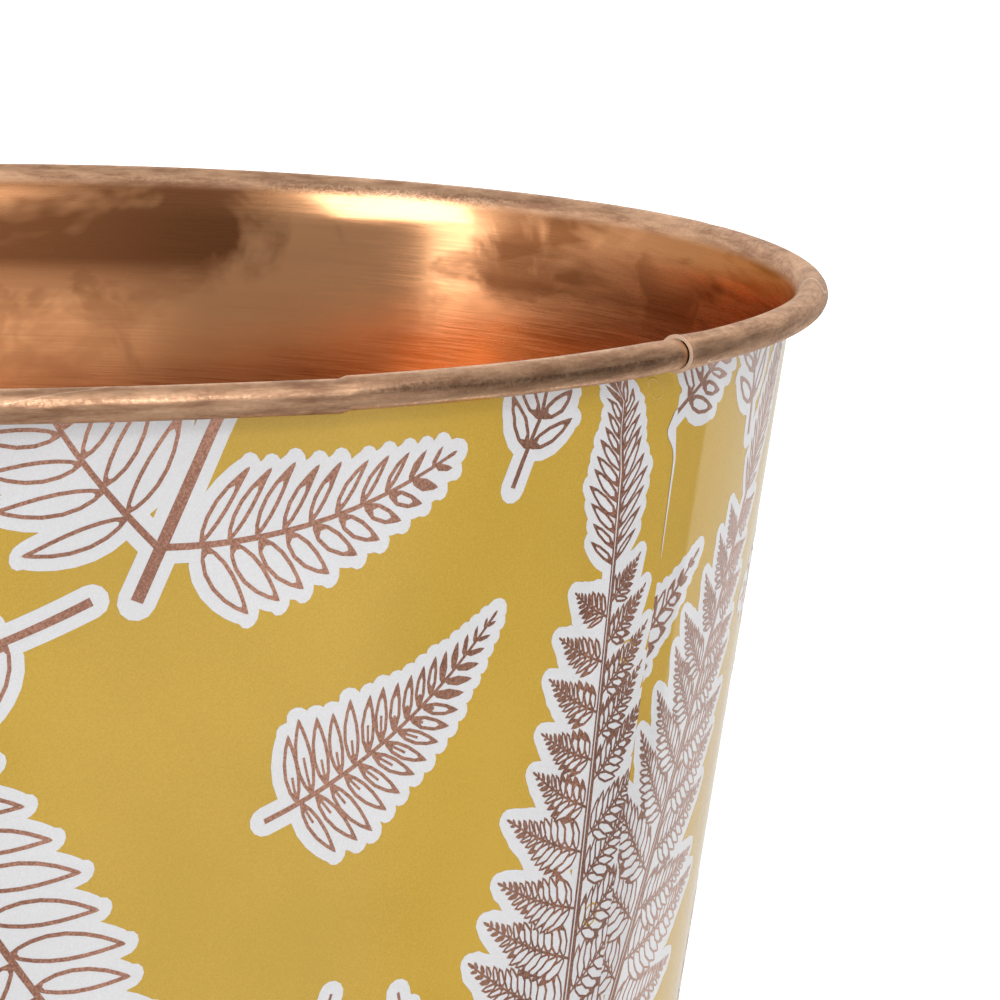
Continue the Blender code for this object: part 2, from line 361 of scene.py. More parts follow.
def sprig(start, end, pairs, longest, bend=0.06):
    """A short stem with a few large leaflets."""
    feather(
        start, end, bend, pairs, longest, 0.30, (50, 38), 0.62, fall=0.5, first=0.8,
        bare=0.16, least=0.3, curl=0.14,
    )
def draw_print():
    """Every frond of one repeat of the print, as (pattern angle, depth below the bead)."""
    leafy = dict(fall=0.6, first=0.75)
    dense = dict(line=0.36, border=1.3)
    ribbed = dict(dense, first=0.85, rib=0.6)

    # Beside the seam, on its right.
    sprig(flat(-0.5, 7.5), flat(7.5, 1.5), 4, 6.5)
    sprig(flat(13.5, 12.5), flat(10.0, -4.0), 4, 6.8, bend=-0.1)
    feather(
        flat(-9, 39), flat(6.5, 23.5), -0.06, 10, 8.5, 0.40, (50, 26), 0.7, first=0.7,
        bare=0.04, curl=0.14, **dense,
    )
    lace_fern(flat(-7, 118), flat(21.5, -3), 0.05, 20, 15)

    # The front.
    ribbon(flat(47.8, 20.5), flat(56, -14), 0.0, 1.35, 1.1)
    feather(
        flat(49.0, 15.0), flat(38.0, -13), 0.1, 8, 11.5, 0.22, (74, 50), 0.75, fall=0.5,
        first=0.95, bare=0.1, curl=0.18,
    )
    feather(
        flat(49.2, 15.0), flat(68.8, 7.4), -0.12, 10, 9.4, 0.31, (66, 40), 0.75, fall=0.62,
        first=0.95, bare=0.09, curl=0.18, left=(1.05, 0.66),
    )
    feather(
        flat(47, -9), flat(64.5, -7), 0.05, 7, 10.0, 0.27, (66, 42), 0.75, fall=0.5,
        first=0.95, bare=0.05,
    )
    feather(
        flat(45.0, 20.3), flat(21, 33), 0.06, 8, 9.0, 0.27, (60, 40), 0.95, fall=0.62,
        first=0.9, bare=0.2,
    )
    feather(
        flat(57.0, 44.5), flat(73.6, 25.0), -0.12, 16, 8.8, 0.235, (84, 30), 0.6, fall=0.75,
        bare=0.1, curl=0.1, **ribbed,
    )
    feather(
        flat(29, 27), flat(60, 92), -0.07, 17, 19.5, 0.24, (76, 52), 1.1, fall=0.95,
        first=0.42, rise=1.5, bare=0.03, curl=0.16, line=0.45,
    )
    sprig(flat(73.8, 12.0), flat(79.0, -6), 5, 7.4)
    lace_fern(flat(85.4, 138), flat(83.0, -5), -0.03, 20, 16)

    # The seam's left, and what stands below.
    feather(flat(124, 33), flat(98, 7), 0.1, 12, 11.0, 0.27, (66, 40), 0.9, fall=0.6, first=0.7)
    sprig(flat(103, 34), flat(97, 24), 4, 6.5)
    sprig(flat(122, 14), flat(127, -5), 5, 7.0)
    lace_fern(flat(111, 160), flat(110, 40), 0.03, 15, 14)
    sprig(flat(128, 62), flat(122, 48), 4, 7.0)
    feather(
        flat(61, 112), flat(63, 64), 0.1, 12, 9.0, 0.33, (58, 34), 0.7, first=0.8, rib=0.5,
        **dense,
    )
    feather(
        flat(74, 122), flat(68.5, 65), -0.08, 13, 9.5, 0.27, (60, 38), 0.8, fall=0.62,
        first=0.8, bare=0.12,
    )
    feather(flat(34, 118), flat(27, 68), 0.12, 13, 9.5, 0.27, (64, 38), 0.8, bare=0.1, **leafy)
    feather(flat(52, 150), flat(45, 98), -0.1, 13, 8.0, 0.32, (66, 32), 0.7, **ribbed)
    feather(flat(17, 150), flat(16, 96), 0.08, 13, 10.0, 0.27, (64, 40), 0.9, **leafy)
    sprig(flat(33, 152), flat(31, 128), 6, 7.5)
    feather(flat(69, 160), flat(71, 124), 0.1, 11, 8.0, 0.3, (72, 34), 0.7, **ribbed)
    feather(flat(96, 166), flat(94, 118), -0.08, 12, 9.0, 0.27, (62, 40), 0.85, **leafy)
    feather(flat(131, 164), flat(127, 112), 0.1, 13, 8.5, 0.3, (70, 34), 0.7, **ribbed)
    feather(flat(5, 166), flat(1, 124), 0.1, 9, 8.0, 0.28, (60, 40), 0.8, fall=0.6, first=0.8)


# ---- meshes ----
def new_object(name, data):
    made = bpy.data.objects.new(name, data)
    scene.collection.objects.link(made)
    return made


def new_piece(name, points, blocks, materials, indices=None, node=None, sharp=35.0):
    """A mesh object that rides with the pot. points are in metres, and each block holds faces of
    one size, a face to a row. indices are the faces' materials, and node is the CAD node it
    replaces."""
    mesh = bpy.data.meshes.new(name)
    sizes = np.concatenate([np.full(len(block), block.shape[1], np.int32) for block in blocks])
    corners = np.concatenate([block.ravel() for block in blocks]).astype(np.int32)
    mesh.vertices.add(len(points))
    mesh.vertices.foreach_set("co", np.asarray(points, np.float32).ravel())
    mesh.loops.add(len(corners))
    mesh.loops.foreach_set("vertex_index", corners)
    mesh.polygons.add(len(sizes))
    mesh.polygons.foreach_set("loop_start", np.concatenate([[0], np.cumsum(sizes)[:-1]]))
    for each in materials:
        mesh.materials.append(each)
    if indices is not None:
        mesh.polygons.foreach_set("material_index", np.asarray(indices, np.int32))
    mesh.update(calc_edges=True)
    mesh.shade_smooth()
    if sharp:
        mesh.set_sharp_from_angle(angle=radians(sharp))
    piece = new_object(name, mesh)
    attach(piece, "root")
    if node:
        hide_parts(node)
    return piece


def wall_sheet(enamel, copper, cut_edge):
    """The one sheet of the wall as a closed solid: tongue, foot hem, cone, flare and bead."""
    joint = [359.6, 359.7, 359.8, 359.9]
    turns = np.concatenate([
        [-TONGUE, -3.5, -1.75, 0.03, 0.18, 0.34], np.arange(STEP, 360 + STEP / 2, STEP), joint,
    ])
    turns.sort()
    first = 3  # the sheet's own start; what comes before it is the tongue
    lap = np.array([part == "cone" for part in ROW_PART], float)
    azimuth, r, z = settle(turns[:, None], ROW_R, ROW_Z, ROW_FACING, ROW_SHARE, lap)
    azimuth = azimuth + 0 * r
    points = np.concatenate([
        at(azimuth, r + side * np.cos(ROW_FACING), z + side * np.sin(ROW_FACING)).reshape(-1, 3)
        for side in (HALF, -HALF)
    ])

    # A cell of the grid has a printed and a bare face, and a cut edge where it has no neighbour.
    columns, rows = r.shape
    under = columns * rows
    in_tongue = (lap > 0) & (ROW_Z >= LAP_HEIGHTS[1]) & (ROW_Z <= LAP_HEIGHTS[2])
    cells = np.zeros((columns + 1, rows + 1), bool)
    cells[1:-1, 1:-1] = True
    cells[1 : first + 1, 1:-1] = in_tongue[:-1] & in_tongue[1:]
    i, k = np.nonzero(cells[1:-1, 1:-1])
    corner = i * rows + k
    corners = np.stack([corner, corner + rows, corner + rows + 1, corner + 1], 1)
    blocks = [corners, corners[:, ::-1] + under]
    beside = (cells[i + 1, k], cells[i + 2, k + 1], cells[i + 1, k + 2], cells[i, k + 1])
    for side, neighbour in enumerate(beside):
        start, end = corners[~neighbour, side], corners[~neighbour, (side + 1) % 4]
        blocks.append(np.stack([end, start, start + under, end + under], 1))
    indices = np.repeat([0, 1, 2], [len(i), len(i), sum(len(block) for block in blocks[2:])])
    used, renumbered = np.unique(np.concatenate(blocks), return_inverse=True)
    new_piece(
        "wall_sheet", points[used], [renumbered.reshape(-1, 4)], [enamel, copper, cut_edge],
        indices, "body_wall",
    )


# ---- the ink, as thin films that follow the wall's own facets ----
PRINT_ROWS = [k for k, part in enumerate(ROW_PART) if part in ("foot", "cone", "flare")][5:]
FACE_Z = ROW_Z[PRINT_ROWS] + HALF * np.sin(ROW_FACING[PRINT_ROWS])
FACE_R = ROW_R[PRINT_ROWS] + HALF * np.cos(ROW_FACING[PRINT_ROWS])
FACE_TILT = ROW_FACING[PRINT_ROWS]
FACE_TILT = np.where(FACE_TILT > pi, FACE_TILT - 2 * pi, FACE_TILT)
PRINT_LOW, PRINT_HIGH = 1.3, BEAD_Z - 1.1
SECTOR = 45.0  # degrees in one piece of film
TILE_SECTORS = round(TILE / SECTOR)
WHITE_FILM = (0.004, 0.034)  # its underside and its top, above the wall
COPPER_FILM = (0.037, 0.060)


def on_wall(turn, z, height):
    """Places at a height above the printed face, in metres, and the normals there."""
    r = np.interp(z, FACE_Z, FACE_R)
    tilt = np.interp(z, FACE_Z, FACE_TILT)
    share = np.interp(z, FACE_Z, ROW_SHARE[PRINT_ROWS])
    (azimuth, radius, level), ahead, behind = (
        settle(each, r, z, tilt + 2 * pi, share, 1.0)
        for each in (turn, np.minimum(turn + 0.1, 360.0), np.maximum(turn - 0.1, 0.0))
    )
    slope = (ahead[1] - behind[1]) / (np.radians(ahead[0] - behind[0]) * radius)
    a = np.radians(azimuth)
    across, up = np.cos(tilt), np.sin(tilt)
    normal = np.stack([
        across * (np.sin(a) - slope * np.cos(a)), across * (-np.cos(a) - slope * np.sin(a)), up,
    ], -1)
    normal /= np.linalg.norm(normal, axis=1)[:, None]
    return at(azimuth, radius + height * across, level + height * up), normal


def inside(x, y, outline_x, outline_y):
    """Which points lie in a polygon, by its edges that pass on one side, upwards and downwards."""
    x0, y0 = outline_x[:, None], outline_y[:, None]
    x1, y1 = np.roll(x0, -1, 0), np.roll(y0, -1, 0)
    left = (x1 - x0) * (y - y0) - (x - x0) * (y1 - y0)
    rising, falling = (y0 <= y) & (y1 > y) & (left > 0), (y0 > y) & (y1 <= y) & (left < 0)
    return rising.sum(0) != falling.sum(0)


def covered(polygons, first):
    """The part of one sector of the print that ends up in the last polygons' ink.

    polygons are (pattern angles, heights, whether they are inked or wiped), in drawing order. The
    answer is points (pattern angle, height) and triangles.
    """
    last = first + SECTOR
    points, edges, near = [], [], []

    def outline(xs, ys, closed=True):
        start, count = len(points), len(xs)
        points.extend(zip(xs.tolist(), ys.tolist()))
        edges.extend((start + k, start + k + 1) for k in range(count - 1))
        if closed:
            edges.append((start + count - 1, start))

    for angles, heights, inked in polygons:
        if heights.max() < PRINT_LOW or heights.min() > PRINT_HIGH:
            continue
        for shift in (-TILE, 0.0, TILE):
            xs = angles + shift
            if xs.max() > first and xs.min() < last:
                near.append((xs, heights, inked))
                outline(xs, heights)
    span = np.array([first - 1, last + 1])
    for height in (PRINT_LOW, PRINT_HIGH, *FACE_Z):
        if PRINT_LOW <= height <= PRINT_HIGH:
            outline(span, np.array([height, height]), closed=False)
    span = np.array([PRINT_LOW - 1, PRINT_HIGH + 1])
    for angle in np.arange(first, last + PRINT_STEP / 2, PRINT_STEP):
        outline(np.array([angle, angle]), span, closed=False)
    made = delaunay_2d_cdt([Vector(p) for p in points], edges, [], 0, 1e-5, False)
    spots = np.array([tuple(v) for v in made[0]])
    triangles = np.array([face for face in made[2] if len(face) == 3])
    middles = spots[triangles].mean(1)
    low, high = (first, PRINT_LOW), (last, PRINT_HIGH)
    kept = ((middles > low) & (middles < high)).all(1)
    triangles, middles = triangles[kept], middles[kept]
    order = np.argsort(middles[:, 0], kind="stable")
    triangles, middles = triangles[order], middles[order]
    inks = np.zeros(len(triangles), bool)
    for xs, ys, inked in near:
        a, b = np.searchsorted(middles[:, 0], [xs.min(), xs.max()])
        some = a + np.flatnonzero((middles[a:b, 1] > ys.min()) & (middles[a:b, 1] < ys.max()))
        inks[some[inside(middles[some, 0], middles[some, 1], xs, ys)]] = inked
    triangles = triangles[inks]
    # The triangles run the way round that makes their faces look outward.
    p, q, s = (spots[triangles[:, k]].T for k in range(3))
    (qx, qy), (sx, sy) = q - p, s - p
    turned = qx * sy < qy * sx
    triangles[turned] = triangles[turned][:, ::-1]
    return spots, triangles


def film(name, spots, triangles, turn, heights, material):
    """One ink of one sector as a closed thin solid on the wall."""
    used, corners = np.unique(triangles, return_inverse=True)
    corners = corners.reshape(-1, 3)
    x, z = spots[used, 0] + turn, spots[used, 1]
    low, normal = on_wall(x, z, heights[0])
    high, _ = on_wall(x, z, heights[1])
    count = len(used)
    sides = np.concatenate([corners[:, [0, 1]], corners[:, [1, 2]], corners[:, [2, 0]]])
    rim = sides[~np.isin(sides @ (count, 1), sides @ (1, count))]  # no face on their other side
    upright = np.stack([rim[:, 1] + count, rim[:, 0] + count, rim[:, 0], rim[:, 1]], 1)
    points = np.concatenate([low, high])
    blocks = [corners + count, corners[:, ::-1], upright]
    piece = new_piece(name, points, blocks, [material], sharp=None)
    across = np.cross(points[rim[:, 1]] - points[rim[:, 0]], normal[rim[:, 0]])
    across /= np.maximum(np.linalg.norm(across, axis=1)[:, None], 1e-12)
    piece.data.normals_split_custom_set(np.concatenate([
        normal[corners.ravel()], -normal[corners[:, ::-1].ravel()], np.repeat(across, 4, 0),
    ]).astype(np.float32))


def print_films(white, copper):
    """The whole print. One tile's sectors are made, and the others repeat them."""
    draw_print()
    for kind, polygons, heights, material in (
        ("white", BORDERS, WHITE_FILM, white), ("copper", PEN_WORK, COPPER_FILM, copper),
    ):
        placed = [(*rolled(points), inked) for points, inked in polygons]
        for sector in range(TILE_SECTORS):
            spots, triangles = covered(placed, sector * SECTOR)
            for number in range(sector, round(360 / SECTOR), TILE_SECTORS):
                turn = (number - sector) * SECTOR
                film(f"print_{kind}_{number + 1}", spots, triangles, turn, heights, material)
# ---- the base and small parts ----
def ring_faces(segments, rows, joins):
    """Faces between a ring's sections. joins are the rows that a face starts from."""
    i, k = (grid.ravel() for grid in np.meshgrid(np.arange(segments), joins, indexing="ij"))
    n, m = (i + 1) % segments, (k + 1) % rows
    return np.stack([i * rows + k, n * rows + k, n * rows + m, i * rows + m], 1)


def turned(section, segments, joins, wobble=None):
    """Points and faces of a section turned round Z, where wobble may move the points."""
    azimuth = (np.arange(segments) * 360 / segments)[:, None]
    r, z = (np.array([place[k] for place in section]) + 0 * azimuth for k in (0, 1))
    if wobble:
        r, z = wobble(azimuth, r, z)
    faces = ring_faces(segments, len(section), joins)
    return at(azimuth + 0 * r, r, z).reshape(-1, 3), faces


def pan_floor(r):
    """Height of the middle of the pan's floor: a raised panel and shallow stamped rings."""
    step = 1 - smooth((r - PANEL_RADIUS + 0.8) / (PANEL_SLOPE + 1.6))
    ring = sum(0.35 * np.exp(-(((r - at_r) / 1.3) ** 2)) for at_r in (24.0, 30.0, 63.0))
    return PAN_TOP + PANEL_RISE * step + ring


PAN_BEND_Z = PAN_TOP - PAN_BEND
PAN_BEND_R = wall_mid(PAN_BEND_Z) - LAYER - PAN_BEND / cos(SLANT)


def base_pan(material):
    """The stamped pan, with its skirt, its bend and its floor."""
    foot = SHEET + GAP
    middle = [(wall_mid(foot) - LAYER, foot, -SLANT)]
    for a in np.linspace(-SLANT, pi / 2, 9):
        middle.append((PAN_BEND_R + PAN_BEND * cos(a), PAN_BEND_Z + PAN_BEND * sin(a), a))
    radii = np.concatenate([np.linspace(70.5, 44, 54), np.linspace(43, 17, 53), [10.0, 3.0, 0.6]])
    for r in radii:
        slope = (pan_floor(r + 0.05) - pan_floor(r - 0.05)) / 0.1
        middle.append((r, float(pan_floor(r)), pi / 2 + atan(slope)))
    upper, lower = (
        [(r + side * cos(a), z + side * sin(a)) for r, z, a in middle] for side in (HALF, -HALF)
    )
    section, segments = upper + lower[::-1], 180
    rows, half = len(section), len(upper)
    joins = [k for k in range(rows) if k != half - 1]
    points, faces = turned(section, segments, joins)
    rings = np.arange(segments) * rows + half
    blocks = [faces, rings[None, :] - 1, rings[None, ::-1]]
    new_piece("base_pan_stamped", points, blocks, [material], None, "base_pan")


SEALANT_TOP = 10.2


def sealant_ring(material):
    """A hand-laid bead of sealant in the corner between the pan and the wall."""
    bend_r, corner_r, wall_r = PAN_BEND_R, wall_mid(PAN_TOP) - 0.30, wall_mid(SEALANT_TOP) - 0.30
    section = [
        (bend_r - 1.6, 8.26), (bend_r + 0.6, 8.24), (corner_r - 0.1, 8.0), (corner_r + 0.02, 8.3),
        (wall_r, SEALANT_TOP), (wall_r - 0.35, 10.1), (bend_r + 1.2, 9.35), (bend_r + 0.2, 8.95),
        (bend_r - 0.9, 8.7), (bend_r - 1.5, 8.45),
    ]
    movable = np.array([0.8, 0, 0, 0, 0.0, 0.3, 0.7, 0.9, 1.0, 1.0])  # the hand's share at each

    def wobble(azimuth, r, z):
        a = np.radians(azimuth)
        wave = 0.30 * np.sin(9 * a + 1) + 0.22 * np.sin(23 * a + 0.3) + 0.12 * np.sin(61 * a + 2)
        return r - movable * (0.4 + wave), z + movable * 0.15 * np.sin(17 * a + 0.8)

    points, faces = turned(section, 288, range(len(section)), wobble)
    new_piece("sealant_bead", points, [faces], [material], None, "base_sealant")


MARGIN = (146.0, 163.0)  # heights between which the print stops short of the seam
NOTCH, NOTCH_SIZE = 160.2, 1.3  # the height where it does so most, and by how much
MARGIN_FILM = (0.062, 0.080)


def print_margin(material):
    """A sliver at the seam that the print does not reach, where the white undercoat shows."""
    low, high = MARGIN
    heights = np.arange(low, high + 0.01, 0.5)
    notch = NOTCH_SIZE * np.exp(-(((heights - NOTCH) / NOTCH_SIZE) ** 2))
    wide = 0.1 + 0.03 * (heights - low) + notch
    wide = wide * smooth((heights - low) / 2) * smooth((high - heights) / 0.8)
    turns = 360 - np.degrees(wide / np.interp(heights, FACE_Z, FACE_R))
    spots = np.concatenate([np.stack([turns, heights], 1), np.stack([360 + 0 * turns, heights], 1)])
    n = len(heights)
    k = np.arange(1, n - 1)
    triangles = np.concatenate([
        np.stack([k, k + n, k + n + 1], 1)[:-1], np.stack([k, k + n + 1, k + 1], 1)[:-1],
    ])
    film("print_margin", spots, triangles, 0.0, MARGIN_FILM, material)


WELD_TURN = 357.25  # degrees from the seam
WELD_HEIGHTS = (165.4, 137.0, 108.0, 79.0, 50.0, 21.0)
WELD_RADIUS, WELD_SIDES = 1.2, 36
WELD_SECTION = np.array([(-0.22, -0.03), (-0.12, 0.035), (0, 0.05), (0.12, 0.035), (0.22, -0.03)])


def weld_marks(material):
    """Faint rings left by the spot welds down the seam, on the printed face."""
    around = np.arange(WELD_SIDES) * 2 * pi / WELD_SIDES
    across, up = WELD_SECTION.T
    steps = len(up)
    points, blocks = [], []
    for number, middle in enumerate(WELD_HEIGHTS):
        reach = WELD_RADIUS + across
        along = (np.cos(around)[:, None] * reach).ravel()
        z = middle + (np.sin(around)[:, None] * reach).ravel()
        turn = WELD_TURN + np.degrees(along / np.interp(middle, FACE_Z, FACE_R))
        points.append(on_wall(turn, z, np.tile(up, WELD_SIDES))[0])
        corners = ring_faces(WELD_SIDES, steps, range(steps))
        blocks.append(corners + WELD_SIDES * steps * number)
    new_piece(
        "spot_weld_marks", np.concatenate(points), blocks, [material],
        sharp=None,
    )


# ---- materials ----
class Nodes:
    """A node tree, with short ways to add to it."""

    def __init__(self, tree):
        self.tree = tree

    def add(self, kind, inputs=(), **settings):
        """A new node. Each of its inputs is a value or the socket that feeds it."""
        node = self.tree.nodes.new("ShaderNode" + kind)
        for key, value in settings.items():
            setattr(node, key, value)
        for key, value in dict(inputs).items():
            if isinstance(value, bpy.types.NodeSocket):
                self.tree.links.new(value, node.inputs[key])
            else:
                node.inputs[key].default_value = value
        return node

    def math(self, operation, one, two=0.0):
        return self.add("Math", {0: one, 1: two}, operation=operation).outputs[0]

    def plus(self, one, two):
        return self.math("ADD", one, two)

    def times(self, one, two):
        return self.math("MULTIPLY", one, two)

    def vector(self, operation, one, two=(0, 0, 0), output="Vector"):
        return self.add("VectorMath", {0: one, 1: two}, operation=operation).outputs[output]

    def spread(self, value, low, high, to_low=0.0, to_high=1.0):
        """A smooth step from to_low to to_high, while value goes from low to high."""
        return self.add("MapRange", {
            "Value": value, "From Min": low, "From Max": high, "To Min": to_low, "To Max": to_high,
        }, interpolation_type="SMOOTHSTEP").outputs["Result"]


class Finish(Nodes):
    """A material built up from nodes round one Principled shader."""

    def __init__(self, name, **fixed):
        self.data = bpy.data.materials.new(name)
        self.data.use_nodes = True
        super().__init__(self.data.node_tree)
        self.shader = self.tree.nodes["Principled BSDF"]
        for socket, value in fixed.items():
            self.shader.inputs[socket.replace("_", " ")].default_value = value
        self.place = self.add("TexCoord").outputs["Object"]

    def noise(self, stretch, detail=3.0, distortion=0.0, roughness=0.5, tilt=0.0):
        """Noise with its own scale along x, y and z, in features for each metre. tilt, in degrees,
        slants it in the x-z plane."""
        place = self.place
        if tilt:
            place = self.add("VectorRotate", {
                "Vector": place, "Angle": radians(tilt),
            }, rotation_type="Y_AXIS").outputs["Vector"]
        return self.add("TexNoise", {
            "Vector": self.vector("MULTIPLY", place, stretch), "Scale": 1.0, "Detail": detail,
            "Distortion": distortion, "Roughness": roughness,
        }).outputs["Fac"]

    def mix(self, factor, one, two):
        """A colour between two that are sockets or (red, green, blue)."""
        one, two = ((*each, 1.0) if isinstance(each, tuple) else each for each in (one, two))
        return self.add("Mix", {0: factor, 6: one, 7: two}, data_type="RGBA").outputs[2]

    def link(self, value, socket):
        self.tree.links.new(value, self.shader.inputs[socket])

    def colour(self, factor, one, two):
        self.link(self.mix(factor, one, two), "Base Color")

    def linked(self, socket):
        """What feeds one of the shader's sockets so far."""
        return self.shader.inputs[socket].links[0].from_socket

    def bump(self, height, distance):
        made = self.add("Bump", {"Height": height, "Distance": distance})
        self.link(made.outputs["Normal"], "Normal")


def ink(name, dark, light, grain, roughness, metallic=0.0, specular=0.5, patchy=(0.35, 0.65)):
    """Enamel or printing ink under the clear coat."""
    made = Finish(
        name, Metallic=metallic, Coat_Weight=1.0, Coat_Roughness=0.05, Coat_IOR=1.5,
        Specular_IOR_Level=specular,
    )
    cloud = made.noise((38, 38, 38), detail=2.0)
    speck = made.noise((grain, grain, grain), detail=2.0, roughness=0.7)
    both = made.plus(made.times(cloud, 0.4), made.times(speck, 0.6))
    made.colour(made.spread(both, *patchy), dark, light)
    made.link(made.spread(speck, 0.3, 0.7, roughness - 0.06, roughness + 0.06), "Roughness")
    made.bump(made.noise((260, 260, 260), detail=1.0), 0.000012)
    return made.data


COPPER_TINT, BRONZE_TINT = (0.92, 0.58, 0.38), (1.0, 0.93, 0.86)  # at grazing angles
CLEAN_COPPER, TARNISH_AND_SHADE_COPPER = (0.970, 0.490, 0.240), (0.24, 0.096, 0.039)
REDDER_COPPER, DEEP_COPPER = (0.950, 0.450, 0.205), (0.950, 0.600, 0.420)
BRONZE, DARK_BRONZE = (0.70, 0.43, 0.27), (0.37, 0.195, 0.115)
SCRATCHED = (0.98, 0.80, 0.62)

# Where the copper of the wall changes. The steps' starts and ends are heights in metres.
DARK_TOP_BAND = (0.151, 0.162)  # above, tarnish is laid on heavily in blotches: painted shade for the dark room reflected near the top
LIGHTER_BELOW = (0.150, 0.161)  # below, other tarnish is weaker, so the lower inside is painted lighter
REDDER = (0.150, 0.164)  # below, it is redder: a painted tint of the deeper copper-on-copper reflections
DEEP = (0.128, 0.142)  # below, it is paler: painted to take the extra tint out of the strong reflections there
HIGHLIGHT_CLEAR = 0.1095  # a slanting stretch, where z is about this much more than x, is left clean and light where the left light's highlight falls: in part a painted highlight
HIGHLIGHT_CLEAR_EDGE = (0.007, 0.023)  # it ends this far from there
BEAD_FROM_Z, BEAD_FROM_R = (0.1684, 0.1697), (0.0973, 0.0981)  # the bead starts at either


def bare_copper(name, light, dark, rough, smudge_and_shade=1.0, flat_part=False):
    """Brushed copper, lightly tarnished, with fine lines along the sheet's length. Unless
    flat_part, its colour also holds painted shade and a painted reflection tint by height.
    """
    made = Finish(
        name, Metallic=1.0, Anisotropic=0.0 if flat_part else 0.3,
        Specular_Tint=(*COPPER_TINT, 1),
    )
    if not flat_part:
        tangent = made.add("Tangent", direction_type="RADIAL", axis="Z")
        made.link(tangent.outputs[0], "Tangent")
    brushed = made.noise((2600, 60, 60) if flat_part else (90, 90, 5200), roughness=0.7)
    streak = made.noise((300, 26, 26) if flat_part else (16, 16, 420), detail=2.0)
    smoke = made.noise((75, 55, 85), detail=4.0, distortion=0.5, roughness=0.58)
    haze = made.noise((24, 18, 34), detail=2.0)
    tarnish_and_shade = made.times(made.spread(smoke, 0.40, 0.58), made.spread(haze, 0.32, 0.55))
    wipes = made.spread(made.noise((26, 30, 170), tilt=38.0), 0.50, 0.64, 0.0, 0.75)
    tarnish_and_shade = made.math("MAXIMUM", tarnish_and_shade, wipes)
    if not flat_part:
        split = made.add("SeparateXYZ", {"Vector": made.place}).outputs
        level = split["Z"]
        cloud = made.noise((26, 20, 60), detail=4.0, distortion=0.6, roughness=0.58)
        blotch = made.spread(cloud, 0.42, 0.54, 0.72, 1.15)
        # Painted shade, darker at the top and lighter below: the tarnish is weakened low down and
        # laid on heavily near the top, where the dark room is reflected.
        tarnish_and_shade = made.times(tarnish_and_shade, made.spread(level, *LIGHTER_BELOW, 0.32, 1.0))
        dark_top = made.times(made.spread(level, *DARK_TOP_BAND), blotch)
        tarnish_and_shade = made.math("MAXIMUM", tarnish_and_shade, dark_top)
        # Along that stretch the tarnish and the painted shade are taken away, so the copper is
        # lighter where the highlight falls.
        off_middle = made.plus(made.math("SUBTRACT", split["X"], level), HIGHLIGHT_CLEAR)
        ragged = made.spread(smoke, 0.35, 0.65, -0.005, 0.006)
        ragged = made.plus(made.math("ABSOLUTE", off_middle), ragged)
        tarnish_and_shade = made.times(tarnish_and_shade, made.spread(ragged, *HIGHLIGHT_CLEAR_EDGE, 0.08, 1.0))
        # Lower down the copper is redder and then paler, a painted tint matched to how its
        # reflections look.
        light = made.mix(made.spread(level, *REDDER), REDDER_COPPER, light)
        light = made.mix(made.spread(level, *DEEP), DEEP_COPPER, light)
    streak = made.times(made.spread(streak, 0.3, 0.8), 0.12)
    tone = made.plus(made.times(tarnish_and_shade, 0.8 * smudge_and_shade), streak)
    made.colour(tone, light, dark)
    coarse = made.spread(tarnish_and_shade, 0.0, 1.0, rough, rough + 0.16)
    made.link(made.plus(coarse, made.spread(brushed, 0.3, 0.7, -0.03, 0.05)), "Roughness")
    ripple = made.noise((70, 70, 34), detail=1.0)
    made.bump(made.plus(made.times(brushed, 0.012), made.times(ripple, 0.7)), 0.00009)
    return made


def brown_bead(made):
    """Makes the bead duller and browner than the rest of the copper, in a mottled tone, with
    scratches.
    """
    z = made.add("SeparateXYZ", {"Vector": made.place}).outputs["Z"]
    r = made.vector("LENGTH", made.vector("MULTIPLY", made.place, (1, 1, 0)), output="Value")
    bead = made.math("MAXIMUM", made.spread(z, *BEAD_FROM_Z), made.spread(r, *BEAD_FROM_R))
    bead_mottle = made.noise((120, 120, 900), detail=4.0, roughness=0.75)
    bronze = made.mix(made.spread(bead_mottle, 0.3, 0.7), BRONZE, DARK_BRONZE)
    # The scratches are level lines of a stretched noise, kept in places.
    wander = made.noise((22, 22, 420), detail=0.0, tilt=3.0)
    off_line = made.math("ABSOLUTE", made.math("SUBTRACT", wander, 0.5))
    kept = made.spread(made.noise((55, 55, 55), detail=1.0), 0.56, 0.60)
    scratch = made.times(made.spread(off_line, 0.001, 0.005, 0.6, 0.0), kept)
    bronze = made.mix(scratch, bronze, SCRATCHED)
    made.colour(bead, made.linked("Base Color"), bronze)
    made.link(made.mix(bead, COPPER_TINT, BRONZE_TINT), "Specular Tint")
    grit = made.noise((1900, 1900, 2600), detail=2.0, roughness=0.7)
    gritty = made.times(bead, made.spread(grit, 0.35, 0.65, -0.10, 0.10))
    rougher = made.plus(made.linked("Roughness"), made.times(bead, 0.13))
    made.link(made.plus(rougher, gritty), "Roughness")
    height = made.linked("Normal").node.inputs["Height"]
    uneven = made.times(bead, made.times(grit, 0.22))
    made.tree.links.new(made.plus(height.links[0].from_socket, uneven), height)


def sealant_finish():
    made = Finish("seam_sealant", Roughness=0.32, Subsurface_Weight=0.3, Subsurface_Scale=0.002)
    cloud = made.noise((160, 160, 160))
    made.colour(cloud, (0.52, 0.49, 0.43), (0.68, 0.66, 0.60))
    made.bump(made.noise((500, 500, 500), detail=2.0), 0.00008)
    return made.data


def steel_finish():
    made = Finish("rim_wire_steel", Metallic=1.0)
    lines = made.noise((700, 700, 3000))
    made.colour(lines, (0.34, 0.34, 0.33), (0.56, 0.55, 0.53))
    made.link(made.spread(lines, 0.2, 0.8, 0.32, 0.5), "Roughness")
    made.bump(lines, 0.00003)
    return made.data


def floor_finish():
    made = Finish("studio_floor", Roughness=0.9, Specular_IOR_Level=0.1)
    cloud = made.noise((3, 3, 3), detail=2.0)
    made.colour(cloud, (0.86, 0.86, 0.86), (0.90, 0.90, 0.90))
    return made.data


